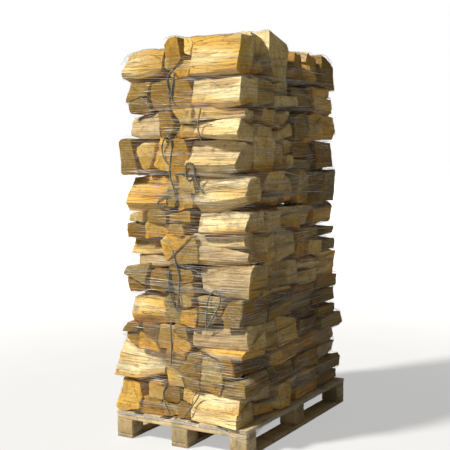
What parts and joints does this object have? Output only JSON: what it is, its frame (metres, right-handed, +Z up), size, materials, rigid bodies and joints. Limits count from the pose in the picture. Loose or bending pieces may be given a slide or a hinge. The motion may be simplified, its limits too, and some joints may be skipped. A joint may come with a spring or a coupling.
{
  "type": "pallet load of netted firewood",
  "caption": "Split firewood logs in net bags with drawstrings, laid in bonded tiers on a block pallet and wrapped in stretch netting.",
  "frame": {"origin": "on the ground, under the middle of the pallet", "axes": "+Z up; +X across the pallet's 800 mm side, to the right; +Y along its 1200 mm side, from the front end to the back"},
  "size_m": [0.8, 1.2, 2.0816],
  "materials": {
    "firewood": "split and sawn dry wood with bark in places, unfinished",
    "pallet_wood": "rough sawn softwood, weathered",
    "bag_net": "knitted straw-coloured plastic netting",
    "drawstring": "knitted dull blue-green cord",
    "wrap_net": "thin off-white knitted stretch netting",
    "nail_steel": "plain steel nail heads, rusted"
  },
  "bodies": {
    "root": {"bag_01_back_left": "firewood", "bag_01_back_right": "firewood", "bag_01_front_left": "firewood", "bag_01_front_right": "firewood", "bag_02_back_left": "firewood", "bag_02_back_right": "firewood", "bag_02_front_left": "firewood", "bag_02_front_right": "firewood", "bag_03_back_left": "firewood", "bag_03_back_right": "firewood", "bag_03_front_left": "firewood", "bag_03_front_right": "firewood", "bag_04_back_left": "firewood", "bag_04_back_right": "firewood", "bag_04_front_left": "firewood", "bag_04_front_right": "firewood", "bag_05_back_left": "firewood", "bag_05_back_right": "firewood", "bag_05_front_left": "firewood", "bag_05_front_right": "firewood", "bag_06_back_left": "firewood", "bag_06_back_right": "firewood", "bag_06_front_left": "firewood", "bag_06_front_right": "firewood", "bag_07_back_left": "firewood", "bag_07_back_right": "firewood", "bag_07_front_left": "firewood", "bag_07_front_right": "firewood", "bag_08_back_left": "firewood", "bag_08_back_right": "firewood", "bag_08_front_left": "firewood", "bag_08_front_right": "firewood", "bag_09_back_left": "firewood", "bag_09_back_right": "firewood", "bag_09_front_left": "firewood", "bag_09_front_right": "firewood", "bag_10_back_left": "firewood", "bag_10_back_right": "firewood", "bag_10_front_left": "firewood", "bag_10_front_right": "firewood", "bag_11_back_left": "firewood", "bag_11_back_right": "firewood", "bag_11_front_left": "firewood", "bag_11_front_right": "firewood", "bag_12_back_left": "firewood", "bag_12_back_right": "firewood", "bag_12_front_left": "firewood", "bag_12_front_right": "firewood", "cross_board_back": "pallet_wood", "cross_board_front": "pallet_wood", "cross_board_middle": "pallet_wood", "deck_board_1": "pallet_wood", "deck_board_2": "pallet_wood", "deck_board_3": "pallet_wood", "deck_board_4": "pallet_wood", "deck_board_5": "pallet_wood", "skid_left": "pallet_wood", "skid_middle": "pallet_wood", "skid_right": "pallet_wood"}
  },
  "joints": []
}
